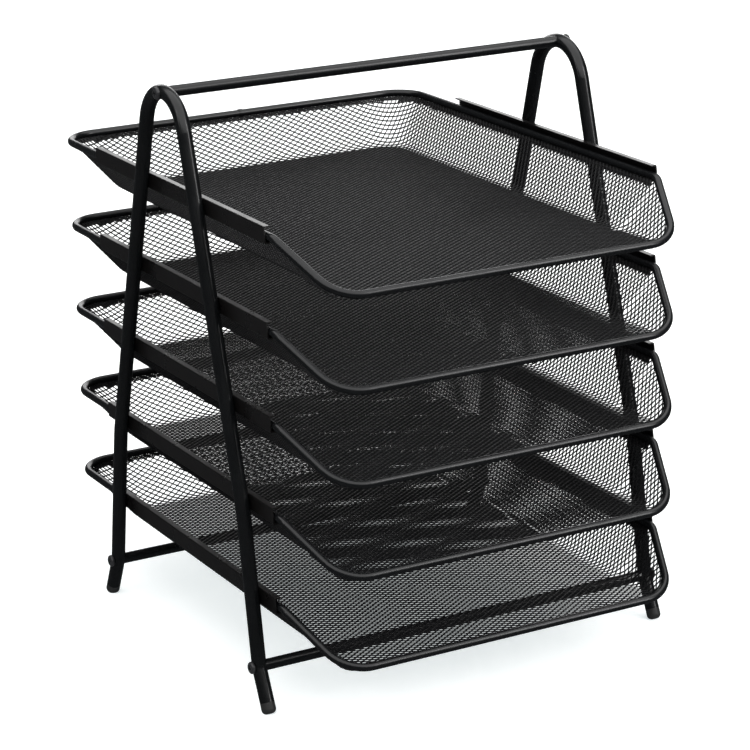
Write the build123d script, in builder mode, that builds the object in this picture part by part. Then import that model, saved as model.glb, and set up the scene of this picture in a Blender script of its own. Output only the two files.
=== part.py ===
"""Desktop file sorter: five sliding wire-mesh letter trays carried between two A-shaped
tube frames, tied together by a carrying handle at the top and two cross bars at the foot.

Millimetres, +Z up, +X to the right, trays open and slide out towards -Y.
The origin is on the desk, under the middle of the trays.
"""

from build123d import *
import math
import os

os.makedirs("parts", exist_ok=True)

# ---------------------------------------------------------------- driving dimensions
# Trays
tier_count = 5
tier_pitch = 57.0
top_rail_height = 302.5  # top face of the highest pair of rails
tray_half_width = 131.9  # rim centre line, left and right
rim_back_y = 174.8  # rim centre line at the back
rim_front_y = -175.1  # rim centre line at the front
rim_radius = 2.5
rim_back_corner = 22.0
rim_drop = 27.1  # how far the front of the rim lies below its sides
floor_drop = 37.2  # underside of the tray floor below the top of its rail
sheet = 0.8  # thickness of the expanded-metal sheet
weld_radius = 2.9
weld_width = 2.4

# Side frames
tube_radius = 4.5
tube_wall = 1.0
frame_half_gap = 140.0  # middle of the sorter to the tube's centre line
frame_centre_y = -7.7  # the side frames stand a little forward of the trays' middle
apex_height = 360.0
upper_lean = math.radians(15.8)  # upper legs, from the vertical
elbow_height = 122.0
elbow_reach = 88.0
knee_height = 26.6
knee_reach = 102.7
foot_reach = 115.0
elbow_bend = 70.0
knee_bend = 14.0
cap_length = 7.0
cap_round = 3.0
spigot_length = 7.0

# Rails
rail_height = 10.0
rail_sheet = 0.8
rail_top_flange = 4.0
rail_bottom_flange = 3.6
rail_front_y = -124.5
rail_front_rake = 1.8  # the bottom of the front end stands this much further forward
rail_back_y = 109.7
rail_running_gap = 0.3

# Handle, cross bars and their screws
bar_radius = 3.5
bar_wall = 1.0
insert_length = 12.0
screw_radius = 2.0
screw_length = 20.0
screw_head_radius = 3.8
screw_head_height = 2.0
screw_slot_width = 1.1
screw_slot_depth = 1.2
screw_clearance = 0.15

# ---------------------------------------------------------------- derived dimensions
sides = {"left": -1, "right": 1}
ends = {"front": -1, "rear": 1}
rail_tops = [top_rail_height - tier * tier_pitch for tier in range(tier_count)]
rail_outer_x = frame_half_gap - tube_radius
rim_below_rail_top = rail_height - rail_sheet - rail_running_gap - rim_radius

peak_height = elbow_height + elbow_reach / math.tan(upper_lean)
arch_radius = (peak_height - apex_height) / (1 / math.sin(upper_lean) - 1)

foot_lean = math.atan2(foot_reach - knee_reach, knee_height)
tube_end_height = cap_length * math.cos(foot_lean)
tube_end_reach = foot_reach - cap_length * math.sin(foot_lean)


# ---------------------------------------------------------------- side frames
def leg_path(side):
    """Centre line of one A-shaped frame, from its front foot over the top to its rear foot."""
    front_leg = [
        (frame_centre_y - tube_end_reach, tube_end_height),
        (frame_centre_y - knee_reach, knee_height),
        (frame_centre_y - elbow_reach, elbow_height),
    ]
    peak = (frame_centre_y, peak_height)
    rear_leg = [(2 * frame_centre_y - y, z) for y, z in reversed(front_leg)]
    bends = [knee_bend, elbow_bend, arch_radius, elbow_bend, knee_bend]
    with BuildLine(Plane.YZ.offset(side * frame_half_gap)) as path:
        FilletPolyline(*front_leg, peak, *rear_leg, radius=bends)
    return path.line


def tube_along(path, bore):
    """Round tube along a path, or a solid bar when the bore is zero."""
    with BuildPart() as tube:
        with BuildSketch(Plane(origin=path @ 0, z_dir=path % 0)):
            Circle(tube_radius)
            if bore > 0:
                Circle(bore, mode=Mode.SUBTRACT)
        sweep(path=path)
    return tube.part


# Where a screw passes through each side frame, as (y, z) of its axis
handle_seat = (frame_centre_y, apex_height)
cross_bar_seats = {end: (frame_centre_y + sign * knee_reach, knee_height) for end, sign in ends.items()}
tube_outlines = {}

for side_name, side in sides.items():
    centre_line = leg_path(side)
    tube_outlines[side_name] = tube_along(centre_line, bore=0)
    with BuildPart() as side_frame:
        add(tube_along(centre_line, bore=tube_radius - tube_wall))
        with BuildSketch(Plane.YZ.offset(side * frame_half_gap)):
            with Locations(handle_seat, *cross_bar_seats.values()):
                Circle(screw_radius + screw_clearance)
        extrude(amount=2 * tube_radius, both=True, mode=Mode.SUBTRACT)
    side_frame.part.label = f"{side_name}_side_frame"
    export_step(side_frame.part, f"parts/{side_name}_side_frame.step")

# Plastic plugs that close the four tube ends and stand on the desk
for side_name, side in sides.items():
    for end_name, end in ends.items():
        foot_axis = (0, end * math.sin(foot_lean), -math.cos(foot_lean))
        tube_end = (side * frame_half_gap, frame_centre_y + end * tube_end_reach, tube_end_height)
        with BuildPart() as foot_cap:
            with BuildSketch(Plane(origin=tube_end, z_dir=foot_axis)):
                Circle(tube_radius)
            extrude(amount=cap_length)
            fillet(foot_cap.faces().sort_by(Axis.Z)[0].edges(), radius=cap_round)
            with BuildSketch(Plane(origin=tube_end, z_dir=foot_axis)):
                Circle(tube_radius - tube_wall)
            extrude(amount=-spigot_length)
            split(bisect_by=Plane.XY, keep=Keep.TOP)
        foot_cap.part.label = f"{end_name}_{side_name}_foot_cap"
        export_step(foot_cap.part, f"parts/{end_name}_{side_name}_foot_cap.step")


# ---------------------------------------------------------------- bars between the frames
def cross_tube(seat):
    """Round tube from frame to frame, with ends saddled to the side frames."""
    with BuildPart() as bar:
        with BuildSketch(Plane.YZ.offset(-frame_half_gap)):
            with Locations(seat):
                Circle(bar_radius)
                Circle(bar_radius - bar_wall, mode=Mode.SUBTRACT)
        extrude(amount=2 * frame_half_gap)
        for outline in tube_outlines.values():
            add(outline, mode=Mode.SUBTRACT)
    return bar.part


def thread_inserts(seats):
    """Threaded slugs pressed into both ends of the bars."""
    with BuildPart() as inserts:
        for side in sides.values():
            with BuildSketch(Plane.YZ.offset(side * rail_outer_x)):
                with Locations(*seats):
                    Circle(bar_radius - bar_wall)
                    Circle(screw_radius + screw_clearance / 3, mode=Mode.SUBTRACT)
            extrude(amount=-side * insert_length)
    return inserts.part


def pan_head_screw(seat_plane):
    """One screw: its head stands on the seat plane and its shank runs back through it."""
    with BuildPart() as screw:
        with BuildSketch(seat_plane):
            Circle(screw_head_radius)
        extrude(amount=screw_head_height)
        crown = screw.faces().sort_by(Axis(seat_plane.origin, seat_plane.z_dir))[-1]
        fillet(crown.edges(), radius=screw_head_height * 0.7)
        with BuildSketch(seat_plane.offset(screw_head_height)):
            Rectangle(screw_head_radius, screw_slot_width)
            Rectangle(screw_slot_width, screw_head_radius)
        extrude(amount=-screw_slot_depth, mode=Mode.SUBTRACT)
        with BuildSketch(seat_plane):
            Circle(screw_radius)
        extrude(amount=-screw_length)
    return screw.part


def pan_head_screws(seats):
    """Cross-recessed screws, driven from outside through the side frames into the bars."""
    with BuildPart() as screws:
        for side in sides.values():
            for y, z in seats:
                crest = (side * (frame_half_gap + tube_radius), y, z)
                add(pan_head_screw(Plane(origin=crest, x_dir=(0, 1, 0), z_dir=(side, 0, 0))))
    return screws.part


bars = {
    "handle_bar": cross_tube(handle_seat),
    "front_cross_bar": cross_tube(cross_bar_seats["front"]),
    "rear_cross_bar": cross_tube(cross_bar_seats["rear"]),
    "handle_inserts": thread_inserts([handle_seat]),
    "cross_bar_inserts": thread_inserts(cross_bar_seats.values()),
    "handle_screws": pan_head_screws([handle_seat]),
    "cross_bar_screws": pan_head_screws(cross_bar_seats.values()),
}
for name, bar_part in bars.items():
    bar_part.label = name
    export_step(bar_part, f"parts/{name}.step")


# ---------------------------------------------------------------- rails
def rail(side, top):
    """Folded C-channel, open towards the tray, with its web against the side frame's legs."""
    inner = rail_outer_x - rail_sheet
    bottom = top - rail_height
    profile = [
        (rail_outer_x - rail_top_flange, top),
        (rail_outer_x, top),
        (rail_outer_x, bottom),
        (rail_outer_x - rail_bottom_flange, bottom),
        (rail_outer_x - rail_bottom_flange, bottom + rail_sheet),
        (inner, bottom + rail_sheet),
        (inner, top - rail_sheet),
        (rail_outer_x - rail_top_flange, top - rail_sheet),
    ]
    foremost = rail_front_y - rail_front_rake
    with BuildPart() as channel:
        with BuildSketch(Plane.XZ.offset(-rail_back_y)) as section:
            with BuildLine():
                Polyline(*[(side * x, z) for x, z in profile], close=True)
            make_face()
            folds = section.vertices().filter_by(lambda v: abs(v.X) > rail_outer_x - 0.01)
            fillet(folds, radius=rail_sheet)
        extrude(amount=rail_back_y - foremost)
        front_end = Plane(
            origin=(0, rail_front_y, top),
            x_dir=(1, 0, 0),
            z_dir=(0, -rail_height, rail_front_rake),
        )
        split(bisect_by=front_end, keep=Keep.BOTTOM)
    return channel.part


for tier, rail_top in enumerate(rail_tops, start=1):
    for side_name, side in sides.items():
        rail_part = rail(side, rail_top)
        rail_part.label = f"{side_name}_rail_{tier}"
        export_step(rail_part, f"parts/{side_name}_rail_{tier}.step")

# ---------------------------------------------------------------- trays
# The rim runs level along the back and sides. Ahead of the rails its whole front is bent
# down in one slanting plane, where the wire also runs inwards to the rounded front corners.
slope_top_y = -130.2
front_corner_x = 114.6  # where the slope and the front run would meet without their bend
slope_bend = 10.0
front_corner_bend = 24.0
slope_top = Vector(tray_half_width, slope_top_y, 0)
front_corner = Vector(front_corner_x, rim_front_y, -rim_drop)
slope_way = (front_corner - slope_top).normalized()
front_way = Vector(-1, 0, 0)
corner_turn = math.radians(slope_way.get_angle(front_way))


def corner_arc(share):
    """Point so far round the rim's front corner: (x, y, fall below the sides, turn seen from above)."""
    start = front_corner - slope_way * (front_corner_bend * math.tan(corner_turn / 2))
    inwards = (front_way - slope_way).normalized()
    centre = front_corner + inwards * (front_corner_bend / math.cos(corner_turn / 2))
    angle = share * corner_turn
    spoke = start - centre
    point = centre + spoke * math.cos(angle) + slope_way * (front_corner_bend * math.sin(angle))
    way = slope_way * math.cos(angle) - spoke * (math.sin(angle) / front_corner_bend)
    return point.X, point.Y, -point.Z, math.atan2(-way.X, -way.Y)


# The basket's section: a flat floor, a short slanted step where the fold is rounded,
# then a straight wall up to the rim.
wall_inset = 23.9  # how far the floor's edge lies inside the rim
fold_floor_inset = wall_inset + 5.0
fold_wall_inset = wall_inset - 3.0
fold_rise = 4.0
fold_corner = 18.0
floor_corner = 14.0
front_lift = 1.1  # the floor's front edge is turned up this much, to the rim
lip_width = 1.2  # the floor stops this far short of the rim's centre line at the front
wall_across = 1.25 * sheet  # thickness of the sloping wall, measured level


def tray_rim(rim_height):
    """Steel wire bent into a closed ring, butt welded at the middle of the back."""
    half_ring = [
        (0, rim_back_y, rim_height),
        (tray_half_width, rim_back_y, rim_height),
        (tray_half_width, slope_top_y, rim_height),
        (front_corner_x, rim_front_y, rim_height - rim_drop),
        (0, rim_front_y, rim_height - rim_drop),
    ]
    with BuildPart() as rim:
        with BuildLine() as path:
            FilletPolyline(*half_ring, radius=[rim_back_corner, slope_bend, front_corner_bend])
        with BuildSketch(Plane(origin=path.line @ 0, z_dir=path.line % 0)):
            Circle(rim_radius)
        sweep()
        mirror(about=Plane.YZ)
        with BuildSketch(Plane.YZ.offset(-weld_width / 2)):
            with Locations((rim_back_y, rim_height)):
                Circle(weld_radius)
        extrude(amount=weld_width)
    return rim.part


def basket_outline(height, inset, corner):
    """Level outline of the back and sides, left square at the front where the slope starts."""
    half_width = tray_half_width - inset
    back = rim_back_y - inset
    with BuildSketch(Plane.XY.offset(height)) as outline:
        with BuildLine():
            Polyline(
                (-half_width, slope_top_y),
                (half_width, slope_top_y),
                (half_width, back),
                (-half_width, back),
                close=True,
            )
        make_face()
        fillet(outline.vertices().group_by(Axis.Y)[-1], radius=corner)
    return outline.sketch


def trough(station, base_height, floor_height, rim_height):
    """Points of the basket's right half at one depth, as three quads: floor, fold and wall."""
    wall_top, section_y, fall, turned = station
    section_y = max(section_y, rim_front_y + lip_width)
    top_height = rim_height - fall
    wall_share = (top_height - base_height) / (rim_height - floor_height)
    floor_edge = wall_top - fold_floor_inset * wall_share / math.cos(turned)
    fold_edge = wall_top - fold_wall_inset * wall_share / math.cos(turned)
    fold_height = base_height + min(fold_rise, (top_height - base_height) / 2)
    floor_quad = [
        (-floor_edge, base_height),
        (floor_edge, base_height),
        (floor_edge, base_height + sheet),
        (-floor_edge, base_height + sheet),
    ]
    fold_quad = [
        (floor_edge, base_height),
        (fold_edge, fold_height),
        (fold_edge - wall_across, fold_height + sheet / 2),
        (floor_edge, base_height + sheet),
    ]
    wall_quad = [
        (fold_edge, fold_height),
        (wall_top, top_height),
        (wall_top - wall_across, top_height),
        (fold_edge - wall_across, fold_height + sheet / 2),
    ]
    return section_y, [floor_quad, fold_quad, wall_quad]


def quad_face(section_y, corners):
    """Upright four-sided face across the tray."""
    with BuildSketch(Plane.XZ.offset(-section_y)) as face:
        with BuildLine():
            Polyline(*corners, close=True)
        make_face()
    return face.sketch


def tray_basket(rim_height, floor_height, rim):
    """Expanded-metal sheet folded into a shallow basket and welded under the rim."""
    inner_levels = [
        (floor_height + sheet, fold_floor_inset, floor_corner),
        (floor_height + fold_rise + sheet / 2, fold_wall_inset + wall_across, fold_corner - wall_across),
        (rim_height, wall_across, rim_back_corner - wall_across),
    ]
    outer_levels = [
        (floor_height, fold_floor_inset, floor_corner),
        (floor_height + fold_rise, fold_wall_inset, fold_corner),
        (rim_height, 0, rim_back_corner),
    ]
    with BuildPart() as inside:
        loft([basket_outline(*level) for level in inner_levels], ruled=True)

    # Ahead of slope_top_y the walls shrink into the floor as the rim comes down
    stations = [
        ((tray_half_width, slope_top_y, 0, 0), floor_height),
        (corner_arc(0.0), floor_height),
        (corner_arc(0.4), floor_height),
        (corner_arc(0.8), floor_height + front_lift),
    ]
    troughs = [trough(station, base, floor_height, rim_height) for station, base in stations]
    with BuildPart() as basket:
        loft([basket_outline(*level) for level in outer_levels], ruled=True)
        add(inside.part, mode=Mode.SUBTRACT)
        for (back_y, back_quads), (front_y, front_quads) in zip(troughs, troughs[1:]):
            for back_quad, front_quad in zip(back_quads, front_quads):
                loft([quad_face(back_y, back_quad), quad_face(front_y, front_quad)], ruled=True)
        mirror(about=Plane.YZ)
        add(rim, mode=Mode.SUBTRACT)
    return basket.part


rims = {}
for tier, rail_top in enumerate(rail_tops, start=1):
    rim_height = rail_top - rim_below_rail_top
    rims[tier] = tray_rim(rim_height)
    rims[tier].label = f"tray_rim_{tier}"
    export_step(rims[tier], f"parts/tray_rim_{tier}.step")
    basket = tray_basket(rim_height, rail_top - floor_drop, rims[tier])
    basket.label = f"tray_mesh_{tier}"
    export_step(basket, f"parts/tray_mesh_{tier}.step")
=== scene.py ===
"""Desktop file sorter: the looks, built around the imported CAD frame.

Metres, +Z up, +X to the right, the trays slide out towards -Y, the origin is on the desk
under the trays' middle. The frames, rails, rims, bars and screws are the CAD nodes with
powder-coat materials. The baskets are made here, strand by strand, as expanded metal that
is cut, folded up at the sides and back, and hemmed under the rim. They replace the plain
CAD sheets.
"""

import math

import bpy
import numpy as np
from mathutils import Matrix, Vector


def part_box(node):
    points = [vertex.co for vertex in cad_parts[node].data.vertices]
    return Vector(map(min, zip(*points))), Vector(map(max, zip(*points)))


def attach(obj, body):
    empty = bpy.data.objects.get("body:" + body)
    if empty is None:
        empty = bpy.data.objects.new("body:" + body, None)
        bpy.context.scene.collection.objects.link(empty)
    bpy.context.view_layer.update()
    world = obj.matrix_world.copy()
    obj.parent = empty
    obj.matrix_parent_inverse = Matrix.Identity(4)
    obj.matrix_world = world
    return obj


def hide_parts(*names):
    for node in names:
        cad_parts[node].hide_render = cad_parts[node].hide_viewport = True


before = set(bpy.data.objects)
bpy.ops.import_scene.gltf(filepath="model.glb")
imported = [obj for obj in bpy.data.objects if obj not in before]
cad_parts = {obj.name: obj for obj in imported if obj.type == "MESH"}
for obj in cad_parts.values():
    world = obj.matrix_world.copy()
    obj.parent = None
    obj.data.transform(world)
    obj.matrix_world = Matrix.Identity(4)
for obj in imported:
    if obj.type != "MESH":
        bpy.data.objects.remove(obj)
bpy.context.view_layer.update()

MM = 0.001
trays = range(1, 6)

# ---------------------------------------------------------------- basket dimensions
# The rim's line, which the sheet is folded up to
rim_radius = 2.5 * MM
rim_half_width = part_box("tray_rim_1")[1].x - rim_radius
rim_back_y = 174.8 * MM
rim_front_y = -175.1 * MM
rim_back_corner = 22.0 * MM
slope_top_y = -130.2 * MM  # ahead of here the rim slants down and inwards to its front corners
slope_turn = math.radians(21.1)  # inwards, seen from above
slope_fall = 0.6036  # downwards, for each step forwards
side_bend = 30.0 * MM  # bends of the sheet's top edge, seen from above
front_bend = 23.6 * MM
side_bend_x = rim_half_width - side_bend
side_bend_y = slope_top_y + side_bend * math.tan(slope_turn / 2)
front_bend_x = (
    rim_half_width
    - (slope_top_y - rim_front_y) * math.tan(slope_turn)
    - front_bend * math.tan(math.pi / 4 - slope_turn / 2)
)
front_bend_y = rim_front_y + front_bend

# The wall's section, from the flat floor over a rounded fold to the rim
floor_inset = 28.9 * MM  # the flat floor ends this far inside the rim's line
wall_rise = 30.8 * MM  # the rim's line above the floor, at the sides
fold_radius = 10.0 * MM
wall_lean = math.radians(52.1)  # from the level
fold_length = fold_radius * wall_lean
wall_length = (wall_rise - fold_radius * (1 - math.cos(wall_lean))) / math.sin(wall_lean)
rim_lap = 2.2 * MM  # the sheet ends this far short of the rim's line
section_length = fold_length + wall_length

# Back corners of the flat floor, where the folds start to turn
floor_corner = 14.0 * MM
corner_x = rim_half_width - floor_inset - floor_corner
corner_y = rim_back_y - floor_inset - floor_corner

# Expanded metal
sheet_thickness = 0.5 * MM
long_way = 5.8 * MM
short_way = 3.8 * MM
strand_width = 0.72 * MM
strand_tilt = 0.42  # rise of each bond across its width, which the slitting leaves
bond_blunting = 0.69  # the hole's pointed ends are cut back to this share of the half pitch
uncut_margin = 9.0 * MM  # the blank is this much larger while it is formed, then it is trimmed
least_margin_share = 0.35  # of that margin, along the front
settling_rounds = 120
settling_step = 0.4 * MM
hem_width = 4.0 * MM
hem_pitch_share = 0.55  # the hem's diamonds are squeezed to this share of the pitch
hem_strand = 1.15 * MM


# ---------------------------------------------------------------- the folded sheet's shape
def wall_section(distance):
    """Inset from the rim's line and height above the floor, so far up from the floor's edge."""
    turned = np.clip(distance, 0, fold_length) / fold_radius
    straight = np.maximum(distance - fold_length, 0)
    level = floor_inset - np.minimum(distance, 0)
    inset = level - fold_radius * np.sin(turned) - straight * math.cos(wall_lean)
    rise = fold_radius * (1 - np.cos(turned)) + straight * math.sin(wall_lean)
    return inset, rise


def front_wall(out, depth):
    """How the side wall stands beside or ahead of a point, round to the front of the tray.

    Gives the way out to the wall as a turn from sideways to forwards, the distance from the
    rim's line, and the share of the wall's full height that is left there under the rim.
    """
    side_turn = np.arctan2(side_bend_y - depth, out - side_bend_x)
    front_turn = np.arctan2(front_bend_y - depth, out - front_bend_x)
    slope_inset = (rim_half_width - out) * math.cos(slope_turn) - (slope_top_y - depth) * math.sin(slope_turn)
    zones = [
        depth >= side_bend_y,
        (out <= front_bend_x) & (depth < front_bend_y),
        (out > front_bend_x) & (front_turn > slope_turn),
        side_turn < slope_turn,
    ]
    turn = np.select(zones, [0.0, math.pi / 2, front_turn, side_turn], slope_turn)
    inset = np.select(
        zones,
        [
            rim_half_width - out,
            depth - rim_front_y,
            front_bend - np.hypot(out - front_bend_x, depth - front_bend_y),
            side_bend - np.hypot(out - side_bend_x, depth - side_bend_y),
        ],
        slope_inset,
    )
    rim_y = np.clip(depth - inset * np.sin(turn), rim_front_y, slope_top_y)
    return turn, inset, 1 - slope_fall * (slope_top_y - rim_y) / wall_rise


def back_corner_rim(share):
    """Points of the rim round a back corner, from its side (share 0) to its back (share 1)."""
    run = rim_back_y - rim_back_corner - corner_y
    arc = rim_back_corner * math.pi / 2
    gone = share * (2 * run + arc)
    angle = np.clip((gone - run) / rim_back_corner, 0, math.pi / 2)
    x = rim_half_width - rim_back_corner * (1 - np.cos(angle)) - np.maximum(gone - run - arc, 0)
    y = corner_y + np.minimum(gone, run) + rim_back_corner * np.sin(angle)
    return x, y


def climb(across, depth):
    """How far a point of the flat blank lies up the wall, and where the wall ends there."""
    out = np.abs(across)
    turn, inset, share = front_wall(out, depth)
    beside = share * floor_inset - inset
    behind = depth - (corner_y + floor_corner)
    round_corner = np.hypot(out - corner_x, depth - corner_y) - floor_corner
    in_corner = (out > corner_x) & (depth > corner_y)
    distance = np.where(in_corner, round_corner, np.maximum(beside, behind))
    return distance, share * section_length - rim_lap


def trimmed(across, depth):
    """The point itself, or the nearest one on the blank's edge when it lies outside."""
    distance, end = climb(across, depth)
    spare = np.maximum(distance - end, 0)
    out = np.abs(across)
    turn, inset, share = front_wall(out, depth)
    back_turn = np.arctan2(np.maximum(depth - corner_y, 0), np.maximum(out - corner_x, 0))
    at_back = depth > corner_y
    out_new = out - spare * np.cos(np.where(at_back, back_turn, turn))
    depth_new = depth + spare * np.where(at_back, -np.sin(back_turn), np.sin(turn))
    return np.copysign(out_new, across), depth_new


def folded(across, depth):
    """Where a point of the flat blank goes once the sides and back are folded up."""
    out = np.abs(across)
    turn, inset, share = front_wall(out, depth)
    side_inset, side_rise = wall_section(floor_inset - inset / share)
    moved = inset - share * side_inset
    side_x = out + moved * np.cos(turn)
    side_y = depth - moved * np.sin(turn)
    back_inset, back_rise = wall_section(depth - (corner_y + floor_corner))
    back_y = rim_back_y - back_inset

    distance = np.hypot(out - corner_x, depth - corner_y) - floor_corner
    corner_inset, corner_rise = wall_section(distance)
    angle = np.arctan2(depth - corner_y, out - corner_x)
    rim_x, rim_y = back_corner_rim(np.clip(angle / (math.pi / 2), 0, 1))
    floor_x = corner_x + floor_corner * np.cos(angle)
    floor_y = corner_y + floor_corner * np.sin(angle)
    outward = 1 - corner_inset / floor_inset
    corner_out = np.where(distance > 0, floor_x + outward * (rim_x - floor_x), out)
    corner_back = np.where(distance > 0, floor_y + outward * (rim_y - floor_y), depth)

    in_corner = (out > corner_x) & (depth > corner_y)
    at_back = (out <= corner_x) & (depth > corner_y)
    x = np.where(in_corner, corner_out, np.where(at_back, out, side_x))
    y = np.where(in_corner, corner_back, np.where(at_back, back_y, side_y))
    z = np.where(in_corner, corner_rise, np.where(at_back, back_rise, share * side_rise))
    return np.stack([np.copysign(x, across), y, z], axis=-1)


def raised(across, depth, height):
    """Points on the folded sheet, lifted off its middle along its normal."""
    across, depth = trimmed(across, depth)
    step = 0.02 * MM
    middle = folded(across, depth)
    normal = np.cross(
        folded(across + step, depth) - folded(across - step, depth),
        folded(across, depth + step) - folded(across, depth - step),
    )
    normal /= np.maximum(np.linalg.norm(normal, axis=-1, keepdims=True), 1e-12)
    return middle + normal * np.asarray(height)[..., None]


# ---------------------------------------------------------------- expanded metal
def settled(bonds, links, lengths, rounds):
    """Blank positions of the bonds once the folded strands have evened out their lengths."""
    place = bonds.copy()
    step = 0.02 * MM
    ends = links.ravel(order="F")
    shares = np.bincount(ends, minlength=len(place))[:, None]
    for _ in range(rounds):
        at = folded(place[:, 0], place[:, 1])
        by_across = (folded(place[:, 0] + step, place[:, 1]) - at) / step
        by_depth = (folded(place[:, 0], place[:, 1] + step) - at) / step
        span = at[links[:, 1]] - at[links[:, 0]]
        reach = np.maximum(np.linalg.norm(span, axis=1), 0.01 * MM)
        pull = span * (0.5 - 0.5 * lengths / reach)[:, None]
        pulls = np.concatenate([pull, -pull])
        force = np.stack([np.bincount(ends, pulls[:, i], len(place)) for i in range(3)], axis=-1) / shares
        # Turn the pull into a move of the blank's two coordinates
        stretch_a = (by_across**2).sum(1)
        stretch_d = (by_depth**2).sum(1)
        shear = (by_across * by_depth).sum(1)
        along_a = (force * by_across).sum(1)
        along_d = (force * by_depth).sum(1)
        area = np.maximum(stretch_a * stretch_d - shear**2, 0.25)
        move_a = (along_a * stretch_d - along_d * shear) / area
        move_d = (along_d * stretch_a - along_a * shear) / area
        move = np.stack([move_a, move_d], axis=-1)
        size = np.linalg.norm(move, axis=1, keepdims=True)
        place += move * np.minimum(1, settling_step / np.maximum(size, 1e-9))
    return place


def diamond_sheet(pitch_share, rounds):
    """Blank positions of the bonds, and each diamond's four bonds: right, back, left, front."""
    half_long = long_way * pitch_share / 2
    half_short = short_way * pitch_share / 2
    columns = int((corner_x + floor_corner + section_length) / half_long) + 4
    first_row = int(rim_front_y / half_short) - 2
    last_row = int((corner_y + floor_corner + section_length) / half_short) + 4
    u, v = np.meshgrid(np.arange(-columns, columns + 1), np.arange(first_row, last_row + 1))
    diamonds = np.stack([u.ravel(), v.ravel()], axis=-1)
    diamonds = diamonds[diamonds.sum(axis=1) % 2 == 0]
    centre = diamonds * (half_long, half_short)
    distance, end = climb(centre[:, 0], centre[:, 1])
    margin = uncut_margin * np.clip(end / section_length, least_margin_share, 1)
    diamonds = diamonds[distance < end + margin]

    around = np.array([(1, 0), (0, 1), (-1, 0), (0, -1)])
    places = (diamonds[:, None, :] + around).reshape(-1, 2)
    bonds, index = np.unique(places, axis=0, return_inverse=True)
    corner = index.reshape(-1, 4)
    strands = np.concatenate([corner[:, [side, (side + 1) % 4]] for side in range(4)])
    strands = np.unique(np.sort(strands, axis=1), axis=0)
    links = np.concatenate([strands, corner[:, [0, 2]], corner[:, [1, 3]]])
    flat = bonds * (half_long, half_short)
    lengths = np.linalg.norm(flat[links[:, 1]] - flat[links[:, 0]], axis=1)
    return settled(flat, links, lengths, rounds), corner


def strand_mesh(name, sheet, pitch_share, strand, lift, belongs):
    """The diamonds for which belongs(distance, end, depth) holds, as strands round open holes."""
    flat_bond, corner = sheet
    half_long = long_way * pitch_share / 2
    half_short = short_way * pitch_share / 2
    centre = flat_bond[corner].mean(axis=1)
    distance, end = climb(centre[:, 0], centre[:, 1])
    corner = corner[(distance < end) & belongs(distance, end, centre[:, 1])]
    used, corner = np.unique(corner, return_inverse=True)
    flat_bond, corner = flat_bond[used], corner.reshape(-1, 4)

    # The hole is a diamond with its two far points blunted
    hole = 1 - strand / 2 * math.hypot(1 / half_long, 1 / half_short)
    tip = min(bond_blunting, hole * 0.95)
    blunt = hole - tip
    hole_corners = np.array(
        [(tip, blunt), (0, hole), (-tip, blunt), (-tip, -blunt), (0, -hole), (tip, -blunt)]
    )
    centre = flat_bond[corner].mean(axis=1)
    half_across = (flat_bond[corner[:, 0]] - flat_bond[corner[:, 2]]) / 2
    half_along = (flat_bond[corner[:, 1]] - flat_bond[corner[:, 3]]) / 2
    spokes = hole_corners[:, :1] * half_across[:, None] + hole_corners[:, 1:] * half_along[:, None]
    flat_hole = (centre[:, None] + spokes).reshape(-1, 2)
    from_bond = hole_corners[:, 1] - np.where(hole_corners[:, 0] == 0, np.sign(hole_corners[:, 1]), 0)
    hole_tilt = np.tile(from_bond * half_short * strand_tilt, len(centre))
    tilt = np.concatenate([np.zeros(len(flat_bond)), hole_tilt])

    flat = np.concatenate([flat_bond, flat_hole])
    top = raised(flat[:, 0], flat[:, 1], lift + tilt + sheet_thickness / 2)
    bottom = raised(flat[:, 0], flat[:, 1], lift + tilt - sheet_thickness / 2)
    under = len(flat)

    ring = np.arange(len(centre) * 6).reshape(-1, 6) + len(flat_bond)
    quads = np.concatenate(
        [
            np.stack([corner[:, side], corner[:, (side + 1) % 4], ring[:, hole_b], ring[:, hole_a]], axis=-1)
            for side, (hole_a, hole_b) in enumerate([(0, 1), (1, 2), (3, 4), (4, 5)])
        ]
    )
    triangles = np.concatenate(
        [
            np.stack([corner[:, bond], ring[:, hole_a], ring[:, hole_b]], axis=-1)
            for bond, hole_a, hole_b in [(0, 0, 5), (2, 3, 2)]
        ]
    )
    hole_edges = np.concatenate([ring[:, [i, (i + 1) % 6]] for i in range(6)])

    # Where a diamond has no neighbour, the sheet's cut edge is closed
    edges = np.concatenate([corner[:, [(i + 1) % 4, i]] for i in range(4)])
    _, first, count = np.unique(np.sort(edges, axis=1), axis=0, return_index=True, return_counts=True)
    upright = np.concatenate([hole_edges, edges[first[count == 1]]])
    walls = np.concatenate([upright, upright[:, ::-1] + under], axis=1)

    faces = [
        *quads.tolist(),
        *(quads[:, ::-1] + under).tolist(),
        *triangles.tolist(),
        *(triangles[:, ::-1] + under).tolist(),
        *walls.tolist(),
    ]
    mesh = bpy.data.meshes.new(name)
    mesh.from_pydata(np.concatenate([top, bottom]).tolist(), [], faces)
    mesh.update()
    return mesh


# ---------------------------------------------------------------- materials
def material(name, **values):
    """A Principled material with constants on the shader's own sockets."""
    made = bpy.data.materials.new(name)
    made.use_nodes = True
    shader = made.node_tree.nodes["Principled BSDF"]
    for socket, value in values.items():
        shader.inputs[socket.replace("_", " ").title().replace("Ior", "IOR")].default_value = value
    return made, made.node_tree, shader


def node(tree, kind, **inputs):
    """A shader node with its inputs set: a socket is linked, anything else is a value."""
    made = tree.nodes.new(kind)
    for socket, value in inputs.items():
        target = made.inputs[int(socket[1:])] if socket[1:].isdigit() else made.inputs[socket]
        if isinstance(value, bpy.types.NodeSocket):
            tree.links.new(value, target)
        else:
            target.default_value = value
    return made


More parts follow.
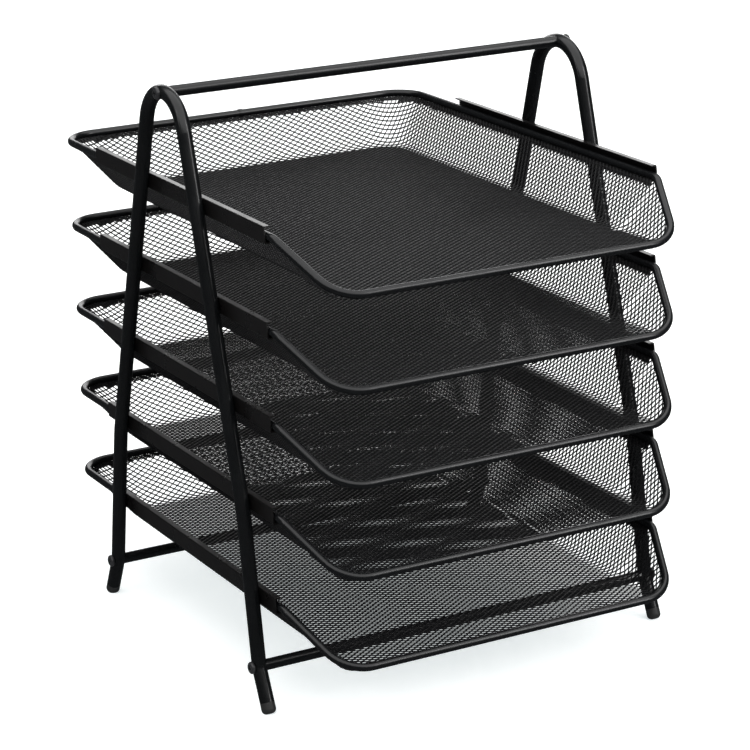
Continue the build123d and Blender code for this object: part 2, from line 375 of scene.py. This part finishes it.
def spread(tree, source, low, high, start=0.0, end=1.0):
    """Turns a texture's start..end into low..high."""
    made = node(tree, "ShaderNodeMapRange", Value=source)
    made.inputs["From Min"].default_value = start
    made.inputs["From Max"].default_value = end
    made.inputs["To Min"].default_value = low
    made.inputs["To Max"].default_value = high
    return made.outputs["Result"]


def blended(tree, amount, first, second):
    """Mix of two colours, each a colour or a socket."""
    made = tree.nodes.new("ShaderNodeMix")
    made.data_type = "RGBA"
    colour_a, colour_b = [i for i in made.inputs if i.type == "RGBA"]
    tree.links.new(amount, made.inputs["Factor"])
    for socket, value in ((colour_a, first), (colour_b, second)):
        if isinstance(value, bpy.types.NodeSocket):
            tree.links.new(value, socket)
        else:
            socket.default_value = (*value, 1)
    return [o for o in made.outputs if o.type == "RGBA"][0]


def coated(name, dark, light, roughness, roughness_swing, peel_size, peel_depth, worn):
    """Powder coat: fine orange peel, slightly cloudy gloss, and rubbed spots."""
    made, tree, shader = material(name, ior=1.5, specular_ior_level=0.32)
    place = tree.nodes.new("ShaderNodeTexCoord").outputs["Object"]
    clouds = node(tree, "ShaderNodeTexNoise", Vector=place, Scale=45.0, Detail=4.0)
    peel = node(tree, "ShaderNodeTexNoise", Vector=place, Scale=1 / peel_size, Detail=2.0)
    grain = node(tree, "ShaderNodeTexVoronoi", Vector=place, Scale=0.7 / peel_size)
    rubbed = node(tree, "ShaderNodeTexNoise", Vector=place, Scale=160.0, Detail=6.0, Roughness=0.7)
    rub_mask = spread(tree, rubbed.outputs[0], 0.0, worn, start=0.62, end=0.8)
    tone = blended(tree, clouds.outputs[0], dark, light)
    colour = blended(tree, rub_mask, tone, tuple(c * 4 for c in light))
    tree.links.new(colour, shader.inputs["Base Color"])
    smoothest, roughest = roughness - roughness_swing, roughness + roughness_swing
    gloss = spread(tree, clouds.outputs[0], smoothest, roughest, 0.3, 0.7)
    tree.links.new(gloss, shader.inputs["Roughness"])
    relief = node(tree, "ShaderNodeMath", _0=peel.outputs[0], _1=grain.outputs["Distance"])
    relief.operation = "ADD"
    bump = node(tree, "ShaderNodeBump", Height=relief.outputs[0], Strength=0.35, Distance=peel_depth)
    tree.links.new(bump.outputs[0], shader.inputs["Normal"])
    return made


powder_coat = coated(
    "powder_coat", (0.0022, 0.0024, 0.0026), (0.004, 0.0045, 0.005), 0.24, 0.04, 0.7 * MM, 0.04 * MM, 0.25
)
rim_coat = coated(
    "rim_coat", (0.0025, 0.0027, 0.003), (0.0045, 0.005, 0.0055), 0.24, 0.04, 0.6 * MM, 0.03 * MM, 0.3
)
rail_coat = coated(
    "rail_coat", (0.0025, 0.0022, 0.0022), (0.0045, 0.004, 0.004), 0.3, 0.05, 0.8 * MM, 0.05 * MM, 0.35
)
screw_black = coated(
    "screw_black", (0.014, 0.014, 0.015), (0.024, 0.024, 0.026), 0.28, 0.05, 0.3 * MM, 0.01 * MM, 0.6
)
foot_plastic = coated(
    "foot_plastic", (0.013, 0.013, 0.013), (0.019, 0.019, 0.019), 0.5, 0.06, 0.4 * MM, 0.03 * MM, 0.3
)

insert_steel, insert_tree, insert_shader = material(
    "insert_steel", base_color=(0.45, 0.45, 0.46, 1), metallic=1.0
)
insert_place = insert_tree.nodes.new("ShaderNodeTexCoord").outputs["Object"]
insert_noise = node(insert_tree, "ShaderNodeTexNoise", Vector=insert_place, Scale=900.0)
insert_gloss = spread(insert_tree, insert_noise.outputs[0], 0.25, 0.45)
insert_tree.links.new(insert_gloss, insert_shader.inputs["Roughness"])

mesh_coat, mesh_tree, mesh_shader = material(
    "mesh_coat", base_color=(0.004, 0.004, 0.0045, 1), ior=1.5, specular_ior_level=0.2
)
mesh_place = mesh_tree.nodes.new("ShaderNodeTexCoord").outputs["Object"]
mesh_clouds = node(mesh_tree, "ShaderNodeTexNoise", Vector=mesh_place, Scale=300.0, Detail=2.0)
mesh_gloss = spread(mesh_tree, mesh_clouds.outputs[0], 0.32, 0.5, 0.3, 0.7)
mesh_tree.links.new(mesh_gloss, mesh_shader.inputs["Roughness"])

finishes = {
    "side_frame": powder_coat,
    "bar": powder_coat,
    "rail": rail_coat,
    "tray_rim": rim_coat,
    "screws": screw_black,
    "inserts": insert_steel,
    "foot_cap": foot_plastic,
}
for node_name, cad_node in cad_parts.items():
    for part_of_name, finish in finishes.items():
        if part_of_name in node_name:
            cad_node.data.materials.clear()
            cad_node.data.materials.append(finish)

# ---------------------------------------------------------------- baskets
sheet = diamond_sheet(1.0, settling_rounds)
hem_sheet = diamond_sheet(hem_pitch_share, 0)
basket_meshes = {
    "floor": strand_mesh(
        "basket_floor", sheet, 1.0, strand_width, 0.0, lambda distance, end, depth: distance < 0
    ),
    "walls": strand_mesh(
        "basket_walls", sheet, 1.0, strand_width, 0.0, lambda distance, end, depth: distance >= 0
    ),
    "hem": strand_mesh(
        "basket_hem",
        hem_sheet,
        hem_pitch_share,
        hem_strand,
        -1.2 * sheet_thickness,
        lambda distance, end, depth: (distance > end - hem_width) & (depth > slope_top_y),
    ),
}
for mesh in basket_meshes.values():
    mesh.materials.append(mesh_coat)
for tray in trays:
    floor_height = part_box(f"tray_mesh_{tray}")[0].z + sheet_thickness
    for part, mesh in basket_meshes.items():
        piece = bpy.data.objects.new(f"tray_{tray}_mesh_{part}", mesh)
        bpy.context.scene.collection.objects.link(piece)
        piece.location.z = floor_height
        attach(piece, f"tray_{tray}")
        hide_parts(f"tray_mesh_{tray}")

# ---------------------------------------------------------------- camera
camera_azimuth = math.radians(-28.94)
camera_elevation = math.radians(17.83)
camera_roll = math.radians(-1.06)
camera_distance = 1.70
camera_aim = Vector((-0.0485, -0.0957, 0.191))

camera_data = bpy.data.cameras.new("camera")
camera_data.sensor_width = 36.0
camera_data.lens = 135.2
camera = bpy.data.objects.new("camera", camera_data)
bpy.context.scene.collection.objects.link(camera)
towards_camera = Vector(
    (
        math.sin(camera_azimuth) * math.cos(camera_elevation),
        -math.cos(camera_azimuth) * math.cos(camera_elevation),
        math.sin(camera_elevation),
    )
)
look = (-towards_camera).to_track_quat("-Z", "Y").to_matrix().to_4x4()
stand = Matrix.Translation(camera_aim + towards_camera * camera_distance)
camera.matrix_world = stand @ look @ Matrix.Rotation(camera_roll, 4, "Z")
bpy.context.scene.camera = camera

# ---------------------------------------------------------------- studio
floor_mesh = bpy.data.meshes.new("studio_floor")
floor_half = 12.0
floor_mesh.from_pydata(
    [(x * floor_half, y * floor_half, 0) for x, y in ((-1, -1), (1, -1), (1, 1), (-1, 1))],
    [],
    [(0, 1, 2, 3)],
)
studio_floor = bpy.data.objects.new("studio_floor", floor_mesh)
bpy.context.scene.collection.objects.link(studio_floor)
floor_paint, _, _ = material(
    "studio_floor_paint",
    base_color=(0.72, 0.70, 0.69, 1),
    roughness=0.9,
    specular_ior_level=0.1,
    emission_color=(0.92, 0.99, 1.0, 1),
    emission_strength=0.64,
)
floor_mesh.materials.append(floor_paint)
studio_floor.visible_glossy = False


def softbox(name, place, aim, width, height, power):
    """A rectangular studio light at a place, turned to its aim."""
    light = bpy.data.lights.new(name, "AREA")
    light.shape = "RECTANGLE"
    light.size = width
    light.size_y = height
    light.energy = power
    lamp = bpy.data.objects.new(name, light)
    bpy.context.scene.collection.objects.link(lamp)
    lamp.location = place
    lamp.rotation_mode = "QUATERNION"
    lamp.rotation_quaternion = (Vector(aim) - Vector(place)).to_track_quat("-Z", "Y")


softbox("overhead_softbox", (-0.2, -0.5, 2.2), (0, 0, 0.1), 5.0, 5.0, 185)
softbox("back_softbox", (1.25, 2.2, 0.95), (0, 0, 0.2), 2.2, 0.9, 15)
softbox("right_softbox", (1.7, -2.4, 1.5), (0, 0, 0.2), 0.5, 1.8, 30)
softbox("left_softbox", (-2.6, -0.2, 1.6), (0, 0, 0.2), 0.35, 1.6, 6)

world = bpy.data.worlds.new("studio_air")
world.use_nodes = True
world.node_tree.nodes["Background"].inputs["Color"].default_value = (0.93, 0.96, 1.0, 1)
world.node_tree.nodes["Background"].inputs["Strength"].default_value = 0.07
bpy.context.scene.world = world
bpy.context.scene.view_settings.view_transform = "Standard"
